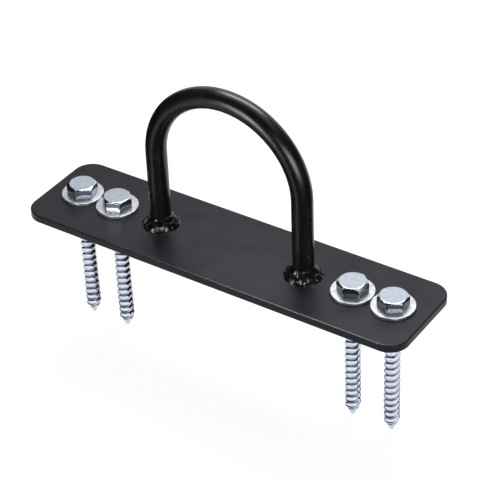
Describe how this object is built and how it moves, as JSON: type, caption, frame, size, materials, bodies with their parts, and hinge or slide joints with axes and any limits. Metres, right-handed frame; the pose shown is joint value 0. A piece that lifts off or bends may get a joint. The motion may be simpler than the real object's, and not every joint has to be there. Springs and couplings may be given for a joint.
{
  "type": "battle rope anchor",
  "caption": "Steel plate with a welded round-bar hoop, fixed flat to a wall or floor with hexagon head lag screws and washers; a battle rope passes through the hoop.",
  "frame": {"origin": "centre of the base plate's back face, the face that lies against the wall, beam or floor", "axes": "+X along the plate, +Y across it, +Z out of the wall through the hoop; the lag screws run along -Z"},
  "size_m": [0.254, 0.063, 0.1916],
  "materials": {
    "plate_powder_coat": "satin black powder coat",
    "hoop_coat": "semi-gloss black coat",
    "weld_coat": "glossy black coat over a lumpy weld",
    "washer_zinc": "bright zinc plated",
    "screw_zinc": "bluish bright zinc plated"
  },
  "bodies": {
    "root": {"base_plate": "plate_powder_coat", "u_bar": "hoop_coat", "weld_bead_left": "weld_coat", "weld_bead_right": "weld_coat", "washer_1": "washer_zinc", "washer_2": "washer_zinc", "washer_3": "washer_zinc", "washer_4": "washer_zinc", "lag_screw_1": "screw_zinc", "lag_screw_2": "screw_zinc", "lag_screw_3": "screw_zinc", "lag_screw_4": "screw_zinc"}
  },
  "joints": []
}
